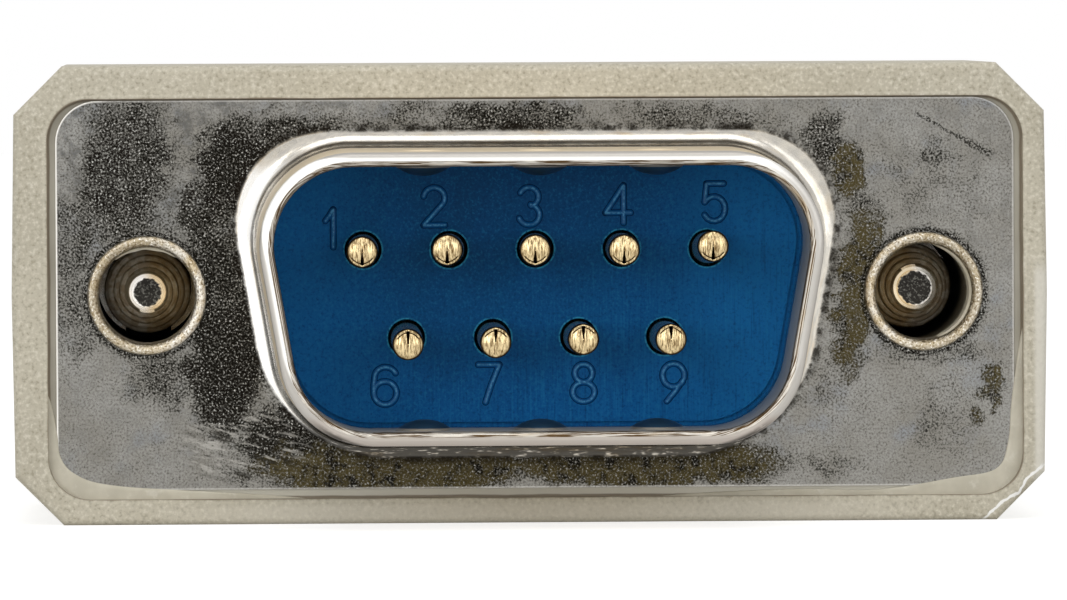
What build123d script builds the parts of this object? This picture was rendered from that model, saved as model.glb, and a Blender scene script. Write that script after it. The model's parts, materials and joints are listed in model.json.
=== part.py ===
from build123d import *

import os
from math import cos, radians, sin, tan

# Nine-way D-sub cable plug with a moulded hood and two captive thumbscrews.
# X runs to the right, Z up, and the plug mates towards -Y. The origin is the middle of the
# D opening, on the front face of the steel flange. All sizes are in millimetres.

# Steel flange and the D-shaped wall drawn from it. The flange is measured from the D opening:
# a screw stands a margin beside it, and the flange ends a little beyond the screw
opening_width = 16.92
opening_height = 8.36
screw_margin = 4.035
flange_end = 2.91
flange_side = 2.07
flange_corner = 1.35
sheet = 0.45
opening_corner = 2.5
side_lean = 10.0
shell_reach = 5.9
draft_angle = 1.0
bend_radius = 0.6
lip_round = 0.18

# Grounding dimples, pressed into the long sides of the D wall
dimple_pitch = 3.7
dimple_count = 3
dimple_depth = 0.32
dimple_chord = 1.8
dimple_setback = 2.0

# Second steel pressing, behind the first
cup_reach = 4.6
cup_lip = 0.8

# Insulators
insulator_gap = 0.04
insulator_sink = 0.3
insulator_rim = 0.9
insulator_flange = 1.2
rear_boss_reach = 1.6

# Contacts: pitch, row gap and the sizes of one turned-over strip
pin_pitch = 2.77
row_gap = 2.84
upper_pins = 5
lower_pins = 4
pin_radius = 0.5
pin_reach = 5.1
nose_length = 0.5
nose_flat = 0.15
seam_width = 0.06
pin_hole_radius = 0.6
pin_hole_depth = 0.5
contact_radius = 0.72
collar_radius = 0.92
collar_length = 0.6
cup_tube_radius = 0.85
cup_bore_radius = 0.58
cup_length = 2.6
cup_bore_depth = 2.2
cup_opening = 1.7

# Swaged eyelets through both flanges
eyelet_bore = 1.55
eyelet_wall = 0.2
eyelet_rim = 1.91
eyelet_bead = 0.22
eyelet_swage = 2.1
bead_start_share = 0.3

# Hood: the overmoulded body. Its frame is measured from the flange, its grip from the heads
hood_side_wall = 0.975
hood_top_wall = 0.94
hood_offset = -0.18
corner_cut = 1.55
mould_draft = 0.09
frame_proud = 0.30
frame_round = 0.22
front_block = 13.0
pocket_side_gap = 0.27
pocket_top_gap = 0.175
pocket_drop = 0.12
ledge_sink = 0.06
head_side_gap = 0.795
body_side_taper = 1.0
body_top_step = 0.4
body_length = 18.0
body_round = 1.2
body_end_round = 0.8
block_edge_round = 0.5

# Finger grooves across the top and bottom of the grip
groove_count = 5
groove_pitch = 2.5
groove_radius = 0.9
groove_depth = 0.45
groove_length = 10.5
groove_setback = 8.0

# Cable inlet at the rear of the hood; the cable itself is not part of this model
inlet_radius = 2.6
inlet_depth = 8.0
neck_radius = 4.6
neck_length = 4.5
neck_root = 1.0
neck_edge = 0.5

# First moulding round the solder cups, inside the hood. Its walls are measured from the cup
inner_side_wall = 0.19
inner_top_wall = 0.47
inner_length = 10.7
inner_round = 0.8

# Thumbscrews
thread_radius = 1.42
point_radius = 0.55
point_length = 2.0
screw_sink = 3.8
screw_travel = 9.5
neck_groove_radius = 1.0
shank_radius = 1.2
shank_clearance = 0.1
screw_bore_radius = 1.75
bore_step = 1.2
head_gap = 0.3

# Split ring in the screw's neck groove
ring_gap = 0.05
ring_radius = 1.66
ring_thickness = 0.6
ring_play = 0.1
ring_opening = 1.5
ring_seat_gap = 0.3

# Knurled heads
head_radius = 3.2
head_length = 12.0
head_collar_radius = 2.5
head_collar_length = 1.2
head_socket = 7.0
head_edge = 0.4
flute_radius = 0.42
flute_count = 18
flute_bite = 0.28
slot_width = 0.9
slot_depth = 1.3

# A cut that has to run past a face goes this much further
overrun = 1.0

# Widths and heights that follow from one another, from the opening outwards
screw_spacing = opening_width + 2 * screw_margin
flange_width = screw_spacing + 2 * flange_end
flange_height = opening_height + 2 * flange_side
pocket_width = flange_width + 2 * pocket_side_gap
pocket_height = flange_height + 2 * pocket_top_gap
hood_width = pocket_width + 2 * hood_side_wall
hood_height = pocket_height + 2 * hood_top_wall
body_width = screw_spacing - 2 * (head_radius + head_side_gap)
body_rear_width = body_width - 2 * body_side_taper

# Places along Y that several pieces share
shell_lip_y = -shell_reach
rear_flange_y = 2 * sheet
insulator_step_y = sheet + insulator_flange
cup_end_y = rear_flange_y + cup_reach
boss_end_y = cup_end_y + rear_boss_reach
cup_tip_y = boss_end_y + cup_length
inner_end_y = rear_flange_y + inner_length
inner_width = opening_width + 2 * (insulator_rim + sheet + inner_side_wall)
inner_height = opening_height + 2 * (insulator_rim + sheet + inner_top_wall)
block_end_y = front_block
body_end_y = front_block + body_length
hood_end_y = body_end_y + neck_length
bore_step_y = block_end_y - bore_step
screw_tip_y = screw_sink
ring_front_y = bore_step_y - ring_seat_gap - ring_thickness
groove_front_y = ring_front_y - ring_play
groove_back_y = ring_front_y + ring_thickness + ring_play
head_front_y = block_end_y + head_gap + screw_travel
head_end_y = head_front_y + head_length
screw_end_y = head_front_y + head_socket

upper_row = [((i - (upper_pins - 1) / 2) * pin_pitch, row_gap / 2) for i in range(upper_pins)]
lower_row = [((i - (lower_pins - 1) / 2) * pin_pitch, -row_gap / 2) for i in range(lower_pins)]
pin_places = upper_row + lower_row
screw_places = {"left": -screw_spacing / 2, "right": screw_spacing / 2}
groove_middle_y = body_end_y - groove_setback
groove_rise = groove_radius - groove_depth
body_height = hood_height - body_top_step
body_middle_z = -body_top_step / 2


def facing(y, x=0):
    """Sketch plane that faces the mating side, at a depth y. Its own axes are X and Z."""
    return Plane(origin=(x, y, 0), x_dir=(1, 0, 0), z_dir=(0, -1, 0))


def turning_plane(x, z=0):
    """Plane for a turned profile: first axis is the radius, second runs along Y."""
    return Plane(origin=(x, 0, z), x_dir=(1, 0, 0), z_dir=(0, 0, 1))


def turning_axis(x, z=0):
    return Axis((x, 0, z), (0, 1, 0))


def d_outline(grow=0, mode=Mode.ADD):
    """The D opening's outline, grown outwards on every side. Its wide side is up."""
    corner = opening_corner + grow
    lean = radians(side_lean)
    top_z = opening_height / 2 + grow
    bottom_z = -top_z
    # The width is measured across the round corners, and the sharp corner lies further out
    top_x = opening_width / 2 + grow + corner * ((1 + sin(lean)) / cos(lean) - 1)
    bottom_x = top_x - (top_z - bottom_z) * tan(lean)
    with BuildLine() as outline:
        FilletPolyline(
            (-top_x, top_z), (top_x, top_z), (bottom_x, bottom_z), (-bottom_x, bottom_z),
            radius=corner,
            close=True,
        )
    make_face(outline.edges(), mode=mode)


def corner_cut_outline():
    """Hood outline with cut corners. The sides lean in a little from the parting line at z = 0."""
    side_x = hood_width / 2
    edge_z = hood_height / 2
    lean_x = side_x - mould_draft
    cut_x = lean_x - corner_cut
    cut_z = edge_z - corner_cut
    with BuildLine() as outline:
        Polyline(
            (side_x, 0), (lean_x, cut_z), (cut_x, edge_z), (-cut_x, edge_z), (-lean_x, cut_z),
            (-side_x, 0), (-lean_x, -cut_z), (-cut_x, -edge_z), (cut_x, -edge_z), (lean_x, -cut_z),
            close=True,
        )
    make_face(outline.edges())


# Shape of the D opening from the lip to the back of the flange, with the dimples left standing
dimple_radius = (dimple_chord**2 / 4 + dimple_depth**2) / (2 * dimple_depth)
dimple_y = shell_lip_y + dimple_setback
dimple_offset = opening_height / 2 - dimple_depth + dimple_radius
dimple_places = [
    ((i - (dimple_count - 1) / 2) * dimple_pitch, dimple_y, side * dimple_offset)
    for i in range(dimple_count)
    for side in (-1, 1)
]
draft_growth = (shell_reach + sheet) * tan(radians(draft_angle))

with BuildPart() as shell_cavity:
    with BuildSketch(facing(sheet)):
        d_outline(draft_growth)
    extrude(amount=shell_reach + sheet, taper=draft_angle)
    with Locations(*dimple_places):
        Sphere(dimple_radius, mode=Mode.SUBTRACT)

# Front shell: one steel pressing, flange and D-shaped wall
with BuildPart() as front_shell:
    with BuildSketch(facing(sheet)):
        RectangleRounded(flange_width, flange_height, flange_corner)
    extrude(amount=sheet)
    with BuildSketch(facing(0)):
        d_outline(sheet + shell_reach * tan(radians(draft_angle)))
    extrude(amount=shell_reach, taper=draft_angle)
    wall_root = front_shell.edges().filter_by_position(Axis.Y, 0, 0).filter_by(
        lambda edge: abs(edge.center().X) < screw_spacing / 2
        and abs(edge.center().Z) < flange_height / 2 - bend_radius
    )
    fillet(wall_root, bend_radius)
    add(shell_cavity.part, mode=Mode.SUBTRACT)
    lip_edges = front_shell.edges().filter_by_position(Axis.Y, shell_lip_y, shell_lip_y)
    fillet(lip_edges, lip_round)
    with Locations(*dimple_places):
        Sphere(dimple_radius - sheet, mode=Mode.SUBTRACT)
    with BuildSketch(facing(sheet)):
        with Locations(*[(x, 0) for x in screw_places.values()]):
            Circle(eyelet_bore + eyelet_wall)
    extrude(amount=sheet, mode=Mode.SUBTRACT)

front_shell.part.label = "front_shell"

# Rear shell: flange against the first one, and a cup with a turned-in lip for the insulators
with BuildPart() as rear_shell:
    with BuildSketch(facing(rear_flange_y)):
        RectangleRounded(flange_width, flange_height, flange_corner)
        with Locations(*[(x, 0) for x in screw_places.values()]):
            Circle(eyelet_bore + eyelet_wall, mode=Mode.SUBTRACT)
    extrude(amount=sheet)
    with BuildSketch(facing(cup_end_y)):
        d_outline(insulator_rim + sheet)
    extrude(amount=cup_reach)
    with BuildSketch(facing(cup_end_y - sheet)):
        d_outline(insulator_rim)
    extrude(amount=cup_end_y - 2 * sheet, mode=Mode.SUBTRACT)
    with BuildSketch(facing(cup_end_y)):
        d_outline(insulator_rim - cup_lip)
    extrude(amount=sheet, mode=Mode.SUBTRACT)

rear_shell.part.label = "rear_shell"

# Front insulator: block in the D opening, rim behind the flange, and nine recessed holes
with BuildPart() as front_insulator:
    with BuildSketch(facing(sheet)):
        d_outline(-insulator_gap)
    extrude(amount=sheet - insulator_sink)
    with BuildSketch(facing(insulator_step_y)):
        d_outline(insulator_rim - insulator_gap)
    extrude(amount=insulator_flange)
    with BuildSketch(facing(insulator_step_y)):
        with Locations(*pin_places):
            Circle(contact_radius)
    extrude(amount=insulator_step_y - insulator_sink - pin_hole_depth, mode=Mode.SUBTRACT)
    with BuildSketch(facing(insulator_step_y)):
        with Locations(*pin_places):
            Circle(pin_hole_radius)
    extrude(amount=insulator_step_y, mode=Mode.SUBTRACT)

front_insulator.part.label = "front_insulator"

# Rear insulator: fills the cup, locks the contact collars, and reaches out through the cup's lip
with BuildPart() as rear_insulator:
    with BuildSketch(facing(cup_end_y - sheet)):
        d_outline(insulator_rim - insulator_gap)
    extrude(amount=cup_end_y - sheet - insulator_step_y)
    with BuildSketch(facing(boss_end_y)):
        d_outline(insulator_rim - cup_lip - insulator_gap)
    extrude(amount=boss_end_y - cup_end_y + sheet)
    with BuildSketch(facing(boss_end_y)):
        with Locations(*pin_places):
            Circle(contact_radius)
    extrude(amount=boss_end_y - insulator_step_y, mode=Mode.SUBTRACT)
    with BuildSketch(facing(insulator_step_y + collar_length)):
        with Locations(*pin_places):
            Circle(collar_radius)
    extrude(amount=collar_length, mode=Mode.SUBTRACT)

rear_insulator.part.label = "rear_insulator"


def make_contact(x, z):
    """One rolled contact: blunt nose, pin, shoulder in the insulators, collar and solder cup."""
    outer_side = 1 if z > 0 else -1
    tip_y = -pin_reach
    shoulder_y = insulator_sink + pin_hole_depth
    collar_y = insulator_step_y
    collar_end_y = insulator_step_y + collar_length
    nose_bulge = nose_flat + (pin_radius - nose_flat) * sin(radians(45))
    nose_mid_y = tip_y + nose_length * (1 - cos(radians(45)))
    with BuildPart() as contact:
        with BuildSketch(turning_plane(x, z)):
            with BuildLine():
                Line((0, tip_y), (nose_flat, tip_y))
                ThreePointArc((nose_flat, tip_y), (nose_bulge, nose_mid_y), (pin_radius, tip_y + nose_length))
                Polyline(
                    (pin_radius, tip_y + nose_length),
                    (pin_radius, insulator_sink),
                    (pin_hole_radius, shoulder_y),
                    (contact_radius, shoulder_y),
                    (contact_radius, collar_y),
                    (collar_radius, collar_y),
                    (collar_radius, collar_end_y),
                    (contact_radius, collar_end_y),
                    (contact_radius, boss_end_y),
                    (cup_tube_radius, boss_end_y),
                    (cup_tube_radius, cup_tip_y),
                    (0, cup_tip_y),
                    (0, tip_y),
                )
            make_face()
        revolve(axis=turning_axis(x, z))
        with BuildSketch(facing(cup_tip_y)):
            with Locations((x, z)):
                Circle(cup_bore_radius)
        extrude(amount=cup_bore_depth, mode=Mode.SUBTRACT)
        # The cup is open on its row's outer side, where the wire goes in
        with BuildSketch(facing(cup_tip_y)):
            with Locations((x, z + outer_side * cup_tube_radius)):
                Rectangle(2 * cup_tube_radius, 2 * cup_tube_radius)
        extrude(amount=cup_opening, mode=Mode.SUBTRACT)
        # The rolled seam runs down the pin's inner side, from its middle
        with BuildSketch(facing(insulator_sink)):
            with Locations((x, z - outer_side * pin_radius / 2)):
                Rectangle(seam_width, pin_radius)
        extrude(amount=pin_reach + insulator_sink, mode=Mode.SUBTRACT)
    return contact.part


for number, (pin_x, pin_z) in enumerate(pin_places, start=1):
    contact = make_contact(pin_x, pin_z)
    contact.label = f"contact_{number}"
    os.makedirs("parts", exist_ok=True)
    export_step(contact, f"parts/contact_{number}.step")


def make_eyelet(x):
    """Tubular rivet: a rolled bead in front of the flange and a swaged lip behind it."""
    tube = eyelet_bore + eyelet_wall
    swage_end_y = rear_flange_y + eyelet_wall
    bead_start_y = -eyelet_bead * bead_start_share
    with BuildPart() as eyelet:
        with BuildSketch(turning_plane(x)):
            with BuildLine():
                ThreePointArc(
                    (eyelet_bore, bead_start_y), ((eyelet_bore + eyelet_rim) / 2, -eyelet_bead), (eyelet_rim, 0)
                )
                Polyline(
                    (eyelet_rim, 0),
                    (tube, 0),
                    (tube, rear_flange_y),
                    (eyelet_swage, rear_flange_y),
                    (eyelet_swage, swage_end_y),
                    (eyelet_bore, swage_end_y),
                    (eyelet_bore, bead_start_y),
                )
            make_face()
        revolve(axis=turning_axis(x))
    return eyelet.part


def make_screw(x):
    """Thumbscrew: point, thread at its full diameter, neck groove and plain shank."""
    with BuildPart() as screw:
        with BuildSketch(turning_plane(x)):
            with BuildLine():
                Polyline(
                    (0, screw_tip_y),
                    (point_radius, screw_tip_y),
                    (thread_radius, screw_tip_y + point_length),
                    (thread_radius, groove_front_y),
                    (neck_groove_radius, groove_front_y),
                    (neck_groove_radius, groove_back_y),
                    (shank_radius, groove_back_y),
                    (shank_radius, screw_end_y),
                    (0, screw_end_y),
                    close=True,
                )
            make_face()
        revolve(axis=turning_axis(x))
    return screw.part


def make_retainer(x):
    """Split ring that slides along the hood's bore with the screw and stops at the bore's step."""
    with BuildPart() as retainer:
        with BuildSketch(facing(ring_front_y + ring_thickness)):
            with Locations((x, 0)):
                Circle(ring_radius)
                Circle(neck_groove_radius + ring_gap, mode=Mode.SUBTRACT)
            with Locations((x, -ring_radius / 2)):
                Rectangle(ring_opening, ring_radius, mode=Mode.SUBTRACT)
        extrude(amount=ring_thickness)
    return retainer.part


def make_thumb_head(x):
    """Moulded head with a plain collar in front, flutes all round and a slot across its end."""
    with BuildPart() as head:
        with BuildSketch(facing(head_end_y)):
            with Locations((x, 0)):
                Circle(head_radius)
        extrude(amount=head_length - head_collar_length)
        with BuildSketch(facing(head_front_y + head_collar_length)):
            with Locations((x, 0)):
                Circle(head_collar_radius)
        extrude(amount=head_collar_length)
        rims = head.edges().filter_by(GeomType.CIRCLE).filter_by(
            lambda edge: edge.radius > head_collar_radius + flute_bite
        )
        chamfer(rims, head_edge)
        with BuildSketch(facing(head_end_y + overrun)):
            with Locations((x, 0)):
                with PolarLocations(head_radius + flute_radius - flute_bite, flute_count):
                    Circle(flute_radius)
        extrude(amount=head_length - head_collar_length + overrun, mode=Mode.SUBTRACT)
        with BuildSketch(facing(head_end_y)):
            with Locations((x, 0)):
                Rectangle(slot_width, 2 * head_radius + overrun)
        extrude(amount=slot_depth, mode=Mode.SUBTRACT)
        with BuildSketch(facing(screw_end_y)):
            with Locations((x, 0)):
                Circle(shank_radius)
        extrude(amount=head_socket, mode=Mode.SUBTRACT)
    return head.part


for side, screw_x in screw_places.items():
    for name, piece in {
        "eyelet": make_eyelet(screw_x),
        "screw": make_screw(screw_x),
        "retainer": make_retainer(screw_x),
        "thumb_head": make_thumb_head(screw_x),
    }.items():
        piece.label = f"{side}_{name}"
        export_step(piece, f"parts/{side}_{name}.step")

# First moulding: a block round the solder cups, with the blind end of the cable inlet behind it
with BuildPart() as inner_mould:
    with BuildSketch(facing(inner_end_y)):
        RectangleRounded(inner_width, inner_height, inner_round)
    extrude(amount=inner_length)
    with BuildSketch(facing(cup_end_y)):
        d_outline(insulator_rim + sheet)
    extrude(amount=cup_reach, mode=Mode.SUBTRACT)
    with BuildSketch(facing(boss_end_y)):
        d_outline(insulator_rim - cup_lip)
    extrude(amount=rear_boss_reach, mode=Mode.SUBTRACT)
    with BuildSketch(facing(cup_tip_y)):
        with Locations(*pin_places):
            Circle(cup_tube_radius)
    extrude(amount=cup_length, mode=Mode.SUBTRACT)

inner_mould.part.label = "inner_mould"

# Hood: front block as wide as the flange, narrower grip behind it, and the neck of the cable inlet
with BuildPart() as hood:
    with BuildSketch(facing(block_end_y, hood_offset)):
        corner_cut_outline()
    extrude(amount=block_end_y + frame_proud)
    fillet(hood.edges().group_by(Axis.Y)[0], frame_round)
    fillet(hood.edges().group_by(Axis.Y)[-1], block_edge_round)

    # Grip, with its flat underside level with the block's and its top a step lower. It starts
    # inside the block, past the block's own round edge
    with BuildSketch(facing(block_end_y - 2 * block_edge_round)):
        with Locations((0, body_middle_z)):
            RectangleRounded(body_width, body_height, body_round)
    with BuildSketch(facing(body_end_y)):
        with Locations((0, body_middle_z)):
            RectangleRounded(body_rear_width, body_height, body_round)
    loft()
    fillet(hood.edges().group_by(Axis.Y)[-1], body_end_round)

    # Finger grooves
    with BuildSketch(Plane.YZ):
        for groove_side in (-1, 1):
            groove_axis_z = body_middle_z + groove_side * (body_height / 2 + groove_rise)
            with Locations((groove_middle_y, groove_axis_z)):
                with GridLocations(groove_pitch, groove_pitch, groove_count, 1):
                    Circle(groove_radius)
    extrude(amount=groove_length / 2, both=True, mode=Mode.SUBTRACT)

    # Neck of the inlet
    with BuildSketch(facing(hood_end_y)):
        Circle(neck_radius)
    extrude(amount=neck_length)
    fillet(hood.edges().group_by(Axis.Y)[-1], neck_edge)
    neck_foot = hood.edges().filter_by(GeomType.CIRCLE).filter_by_position(Axis.Y, body_end_y, body_end_y)
    fillet(neck_foot, neck_root)

    # Pocket for the flange, with a ledge round it
    with BuildSketch(facing(ledge_sink)):
        with Locations((0, -pocket_drop)):
            RectangleRounded(pocket_width, pocket_height, flange_corner)
    extrude(amount=ledge_sink + frame_proud, mode=Mode.SUBTRACT)
    with BuildSketch(facing(rear_flange_y)):
        RectangleRounded(flange_width, flange_height, flange_corner)
    extrude(amount=rear_flange_y + overrun, mode=Mode.SUBTRACT)

    # Space of the first moulding and the solder cups
    with BuildSketch(facing(inner_end_y)):
        RectangleRounded(inner_width, inner_height, inner_round)
    extrude(amount=inner_length, mode=Mode.SUBTRACT)

    # Bores for the thumbscrews, each with a step at its rear
    with BuildSketch(facing(bore_step_y)):
        with Locations(*[(x, 0) for x in screw_places.values()]):
            Circle(screw_bore_radius)
    extrude(amount=bore_step_y, mode=Mode.SUBTRACT)
    with BuildSketch(facing(rear_flange_y + eyelet_wall)):
        with Locations(*[(x, 0) for x in screw_places.values()]):
            Circle(eyelet_swage)
    extrude(amount=eyelet_wall, mode=Mode.SUBTRACT)
    with BuildSketch(facing(block_end_y)):
        with Locations(*[(x, 0) for x in screw_places.values()]):
            Circle(shank_radius + shank_clearance)
    extrude(amount=block_end_y, mode=Mode.SUBTRACT)

    # Cable inlet
    with BuildSketch(facing(hood_end_y)):
        Circle(inlet_radius)
    extrude(amount=inlet_depth, mode=Mode.SUBTRACT)

hood.part.label = "hood"

os.makedirs("parts", exist_ok=True)
export_step(front_shell.part, "parts/front_shell.step")
export_step(rear_shell.part, "parts/rear_shell.step")
export_step(front_insulator.part, "parts/front_insulator.step")
export_step(rear_insulator.part, "parts/rear_insulator.step")
export_step(inner_mould.part, "parts/inner_mould.step")
export_step(hood.part, "parts/hood.step")
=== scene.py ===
# %% [markdown]
# # Dressing a nine-way D-sub plug
#
# The solids of this plug are already right: hood, steel shell, insulator, contacts, eyelets and
# thumbscrews sit where they belong, in metres, with +Z up and the mating end towards -Y.
# This lesson gives them their surfaces and adds what is too fine for solids: the rolled
# noses of the pins, the threads, the raised position numbers and the thin skins of plastic that
# crept out of the mould.
#
# The first step only loads the solids and keeps their box, because nothing that is added may
# make the plug bigger.

# %% Load the fixed frame
import json
from math import ceil, cos, pi, radians, sin, tan

import bmesh
import bpy
import numpy as np
from mathutils import Matrix, Vector

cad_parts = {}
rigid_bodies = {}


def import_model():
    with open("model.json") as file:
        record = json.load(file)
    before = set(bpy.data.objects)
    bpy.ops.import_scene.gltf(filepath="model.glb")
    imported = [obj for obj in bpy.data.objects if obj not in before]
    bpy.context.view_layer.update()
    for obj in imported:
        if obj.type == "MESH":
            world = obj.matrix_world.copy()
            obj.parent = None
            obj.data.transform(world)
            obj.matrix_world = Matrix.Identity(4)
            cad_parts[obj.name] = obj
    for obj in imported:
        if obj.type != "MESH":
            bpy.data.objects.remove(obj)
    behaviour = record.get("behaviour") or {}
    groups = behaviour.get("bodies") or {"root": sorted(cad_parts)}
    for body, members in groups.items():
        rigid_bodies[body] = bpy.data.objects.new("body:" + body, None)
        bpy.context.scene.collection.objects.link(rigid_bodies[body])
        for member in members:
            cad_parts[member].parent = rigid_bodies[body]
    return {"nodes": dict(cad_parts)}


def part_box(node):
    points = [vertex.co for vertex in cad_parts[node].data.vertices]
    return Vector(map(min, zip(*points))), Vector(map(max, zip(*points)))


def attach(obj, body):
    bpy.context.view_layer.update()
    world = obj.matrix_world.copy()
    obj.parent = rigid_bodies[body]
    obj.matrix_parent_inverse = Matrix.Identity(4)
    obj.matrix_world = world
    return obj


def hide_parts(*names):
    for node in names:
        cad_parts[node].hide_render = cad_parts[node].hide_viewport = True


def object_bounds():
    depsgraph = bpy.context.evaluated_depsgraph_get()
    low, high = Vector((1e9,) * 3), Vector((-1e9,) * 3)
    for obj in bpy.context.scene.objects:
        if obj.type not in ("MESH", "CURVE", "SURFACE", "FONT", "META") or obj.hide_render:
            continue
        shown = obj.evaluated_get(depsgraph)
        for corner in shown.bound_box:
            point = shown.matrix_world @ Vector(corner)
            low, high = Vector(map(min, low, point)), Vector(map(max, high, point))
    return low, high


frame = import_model()
cad_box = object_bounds()
nodes = frame["nodes"]
mm = 0.001
box_mm = [[round(c / mm, 2) for c in corner] for corner in cad_box]
print(f"{len(nodes)} nodes, box {box_mm[0]} to {box_mm[1]} mm")

# %% [markdown]
# ## The camera
#
# The photograph was taken with a long lens from slightly left of and above the plug. The
# lens, place and three small turns below were fitted to the flange's corners, both eyelets, the
# lip of the shell and the pin tips, so the picture can be compared point by point.

# %% Camera at the photograph's angle
photo_width = 1067
focal_pixels = 9341.9
camera_place = Vector((-10.95, -300, 8.99)) * mm
camera_yaw = radians(2.076)
camera_pitch = radians(-1.756)
camera_roll = radians(-0.263)


def link_to_scene(thing):
    bpy.context.scene.collection.objects.link(thing)
    return thing


def photograph_camera():
    """A camera that looks along +Y, turned a little by yaw, pitch and roll."""
    level_forward = Vector((sin(camera_yaw), cos(camera_yaw), 0))
    forward = level_forward * cos(camera_pitch) + Vector((0, 0, sin(camera_pitch)))
    level_right = Vector((cos(camera_yaw), -sin(camera_yaw), 0))
    level_up = level_right.cross(forward)
    right = cos(camera_roll) * level_right + sin(camera_roll) * level_up
    up = right.cross(forward)
    data = bpy.data.cameras.new("photograph")
    data.sensor_width = 36
    data.lens = data.sensor_width * focal_pixels / photo_width
    data.clip_start = 0.02
    camera = link_to_scene(bpy.data.objects.new("photograph", data))
    turn = Matrix((right, up, -forward)).transposed()
    camera.matrix_world = Matrix.Translation(camera_place) @ turn.to_4x4()
    return camera


bpy.context.scene.camera = photograph_camera()
print(f"lens {bpy.context.scene.camera.data.lens:.0f} mm")

# %% [markdown]
# ## Short calls for nodes
#
# World, floor, finishes and threads are all made of node trees. `Wiring` keeps them short: each
# of its methods adds one node, feeds it with numbers or with other nodes' outputs, and returns
# its output.

# %% The wiring helper
class Wiring:
    def __init__(self, tree):
        self.tree = tree

    def add(self, kind, **settings):
        node = self.tree.nodes.new(kind)
        for key, value in settings.items():
            setattr(node, key, value)
        return node

    def feed(self, socket, value):
        if isinstance(value, bpy.types.NodeSocket):
            self.tree.links.new(value, socket)
        else:
            socket.default_value = value

    def fed(self, node, values):
        """Feeds a node's inputs in their order and returns its first output."""
        for socket, value in zip(node.inputs, values):
            self.feed(socket, value)
        return node.outputs[0]

    def math(self, operation, *values):
        return self.fed(self.add("ShaderNodeMath", operation=operation), values)

    def chain(self, operation, values):
        result = values[0]
        for value in values[1:]:
            result = self.math(operation, result, value)
        return result

    def plus(self, *values):
        return self.chain("ADD", values)

    def times(self, *values):
        return self.chain("MULTIPLY", values)

    def most(self, *values):
        return self.chain("MAXIMUM", values)

    def minus(self, a, b):
        return self.math("SUBTRACT", a, b)

    def less(self, share):
        return self.minus(1.0, share)

    def size(self, value):
        return self.math("ABSOLUTE", value)

    def line(self, value, slope, start):
        """A straight line over the value."""
        return self.math("MULTIPLY_ADD", value, slope, start)

    def length(self, a, b):
        """Distance from 0 to the point (a, b)."""
        return self.math("SQRT", self.plus(self.times(a, a), self.times(b, b)))

    def ramp(self, value, low, high, start=0.0, end=1.0, kind="LINEAR"):
        """Runs from start at low to end at high and stays there beyond them."""
        node = self.add("ShaderNodeMapRange", interpolation_type=kind)
        return self.fed(node, (value, low, high, start, end))

    def step(self, value, low, high):
        """Smooth step from 0 at low to 1 at high. With high below low it runs the other way."""
        if high < low:
            return self.ramp(value, high, low, 1.0, 0.0, "SMOOTHSTEP")
        return self.ramp(value, low, high, 0.0, 1.0, "SMOOTHSTEP")

    def band(self, value, middle, far, near):
        """1 as far as near from the middle, 0 beyond far."""
        return self.step(self.size(self.minus(value, middle)), far, near)

    def split(self, vector):
        node = self.add("ShaderNodeSeparateXYZ")
        self.feed(node.inputs[0], vector)
        return node.outputs

    def join(self, x, y, z):
        return self.fed(self.add("ShaderNodeCombineXYZ"), (x, y, z))

    def scaled(self, vector, factor):
        node = self.add("ShaderNodeVectorMath", operation="SCALE")
        self.feed(node.inputs[0], vector)
        self.feed(node.inputs["Scale"], factor)
        return node.outputs[0]

    def white_for_eye_and_mirror(self):
        """1 for a camera, glossy or transmission ray and 0 for all others."""
        path = self.add("ShaderNodeLightPath").outputs
        return self.most(path["Is Camera Ray"], path["Is Glossy Ray"], path["Is Transmission Ray"])


print("wiring helper ready")

# %% [markdown]
# ## Light
#
# The plug stands in a white tent. Two tall soft lamps stand left and right and one hangs above:
# they give the rolled edges of the steel their white lines. The left one is the stronger, so
# that numbers and pins have a bright and a dark side. The world fills in. The camera and every
# reflection see the world as plain white, which is the picture's background.
# Together they light a surface so that its colour comes out about as it is written.

# %% World and lamps
scene = bpy.context.scene
scene.view_settings.view_transform = "Standard"
world_fill = 0.50


def make_world():
    world = bpy.data.worlds.new("white tent")
    world.use_nodes = True
    w = Wiring(world.node_tree)
    background = w.tree.nodes["Background"]
    background.inputs["Color"].default_value = (1, 1, 1, 1)
    strength = w.ramp(w.white_for_eye_and_mirror(), 0.0, 1.0, world_fill, 1.0)
    w.feed(background.inputs["Strength"], strength)
    return world


def soft_lamp(name, azimuth, elevation, distance, width, height, radiance):
    """Area lamp aimed at the plug. Azimuth 0 is in front of the pins and 90 is to the right."""
    data = bpy.data.lights.new(name, "AREA")
    data.shape = "RECTANGLE"
    data.size = width
    data.size_y = height
    data.energy = radiance * pi * width * height
    lamp = link_to_scene(bpy.data.objects.new(name, data))
    a, e = radians(azimuth), radians(elevation)
    away = Vector((sin(a) * cos(e), -cos(a) * cos(e), sin(e)))
    lamp.location = away * distance
    lamp.rotation_euler = away.to_track_quat("Z", "Y").to_euler()
    lamp.visible_camera = False
    return lamp


scene.world = make_world()
soft_lamp("left_lamp", azimuth=-38, elevation=8, distance=0.45, width=0.28, height=0.42, radiance=2.1)
soft_lamp("right_lamp", azimuth=38, elevation=8, distance=0.45, width=0.28, height=0.42, radiance=1.3)
soft_lamp("top_lamp", azimuth=0, elevation=62, distance=0.40, width=0.36, height=0.22, radiance=1.6)
print("one world and three lamps")

# %% [markdown]
# ## Floor and lens board
#
# The floor is pale and plain and keeps the plug's shadow. For the eye and for mirrors a part of its
# brightness is its own, so that it reaches white where nothing shades it.
#
# A small dark board stands round the lens, where a real tent has its hole. Only reflections see
# it: it keeps the parts that face the lens squarely from mirroring plain white.

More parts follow.
